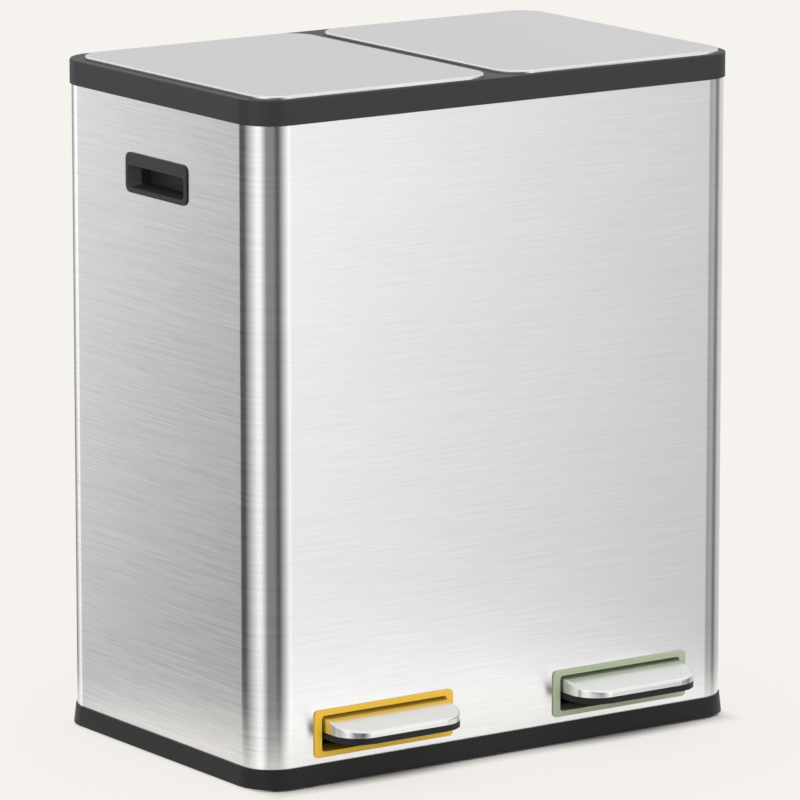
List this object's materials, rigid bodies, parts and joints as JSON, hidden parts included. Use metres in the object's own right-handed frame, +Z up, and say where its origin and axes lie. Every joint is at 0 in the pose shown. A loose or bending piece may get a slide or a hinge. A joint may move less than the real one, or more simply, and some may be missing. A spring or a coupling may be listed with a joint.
{
  "type": "double recycling bin",
  "caption": "Twin-compartment pedal bin with a brushed steel body, side-by-side hinged lids, foot pedals in coloured surrounds and lift-out inner buckets.",
  "frame": {"origin": "on the floor under the middle of the whole object's bounding box, pedals included", "axes": "+Z up along the height, +Y from the pedals at the front to the hinges at the rear, +X to the right as seen from the front"},
  "size_m": [0.551, 0.393, 0.6483],
  "materials": {
    "brushed_steel": "horizontally brushed stainless steel, satin",
    "zinc_steel": "plain zinc plated steel",
    "black_plastic": "fine matte grained black plastic",
    "grey_plastic": "matte dark grey plastic",
    "bucket_plastic": "semi-matte grey plastic",
    "yellow_plastic": "satin yellow plastic",
    "green_plastic": "satin sage green plastic",
    "rubber": "matte black rubber"
  },
  "bodies": {
    "root": {"outer_shell": "brushed_steel", "top_frame": "black_plastic", "base_tray": "black_plastic", "foot_pad_front_left": "rubber", "foot_pad_front_right": "rubber", "foot_pad_rear_left": "rubber", "foot_pad_rear_right": "rubber", "shell_screw_1": "zinc_steel", "shell_screw_2": "zinc_steel", "shell_screw_3": "zinc_steel", "shell_screw_4": "zinc_steel", "handle_cup_left": "grey_plastic", "pedal_bezel_left": "yellow_plastic", "inner_bucket_left": "bucket_plastic", "hinge_pin_left": "zinc_steel", "lever_pin_left": "zinc_steel", "damper_cylinder_left": "grey_plastic", "mechanism_cover_left": "zinc_steel", "lid_bumper_left_1": "rubber", "lid_bumper_left_2": "rubber", "handle_cup_right": "grey_plastic", "pedal_bezel_right": "green_plastic", "inner_bucket_right": "bucket_plastic", "hinge_pin_right": "zinc_steel", "lever_pin_right": "zinc_steel", "damper_cylinder_right": "grey_plastic", "mechanism_cover_right": "zinc_steel", "lid_bumper_right_1": "rubber", "lid_bumper_right_2": "rubber"},
    "lid_left": {"lid_plate_left": "brushed_steel", "lid_frame_left": "grey_plastic"},
    "rod_left": {"push_rod_left": "zinc_steel", "rod_head_left": "zinc_steel", "rod_foot_left": "rubber", "damper_piston_left": "grey_plastic"},
    "pedal_left": {"pedal_cover_left": "brushed_steel", "pedal_base_left": "black_plastic", "pedal_lever_left": "zinc_steel", "pedal_screw_left_1": "zinc_steel", "pedal_screw_left_2": "zinc_steel"},
    "lid_right": {"lid_plate_right": "brushed_steel", "lid_frame_right": "grey_plastic"},
    "rod_right": {"push_rod_right": "zinc_steel", "rod_head_right": "zinc_steel", "rod_foot_right": "rubber", "damper_piston_right": "grey_plastic"},
    "pedal_right": {"pedal_cover_right": "brushed_steel", "pedal_base_right": "black_plastic", "pedal_lever_right": "zinc_steel", "pedal_screw_right_1": "zinc_steel", "pedal_screw_right_2": "zinc_steel"}
  },
  "joints": [
    {"name": "lid_left_hinge", "type": "hinge", "parent": "root", "child": "lid_left", "pos_m": [-0.13615, 0.183, 0.6395], "axis": [-1, 0, 0], "range_deg": [0, 80]},
    {"name": "rod_left_lift", "type": "slide", "parent": "root", "child": "rod_left", "axis": [0, 0, 1], "range_m": [0, 0.02514]},
    {"name": "pedal_left_pivot", "type": "hinge", "parent": "root", "child": "pedal_left", "pos_m": [-0.13615, -0.064, 0.05], "axis": [1, 0, 0], "range_deg": [0, 6.29]},
    {"name": "lid_right_hinge", "type": "hinge", "parent": "root", "child": "lid_right", "pos_m": [0.13615, 0.183, 0.6395], "axis": [-1, 0, 0], "range_deg": [0, 80]},
    {"name": "rod_right_lift", "type": "slide", "parent": "root", "child": "rod_right", "axis": [0, 0, 1], "range_m": [0, 0.02514]},
    {"name": "pedal_right_pivot", "type": "hinge", "parent": "root", "child": "pedal_right", "pos_m": [0.13615, -0.064, 0.05], "axis": [1, 0, 0], "range_deg": [0, 6.29]}
  ],
  "couplings": [
    {"joint": "rod_left_lift", "follows": "lid_left_hinge", "m_per_rad": 0.018},
    {"joint": "pedal_left_pivot", "follows": "lid_left_hinge", "ratio": 0.078603},
    {"joint": "rod_right_lift", "follows": "lid_right_hinge", "m_per_rad": 0.018},
    {"joint": "pedal_right_pivot", "follows": "lid_right_hinge", "ratio": 0.078603}
  ]
}
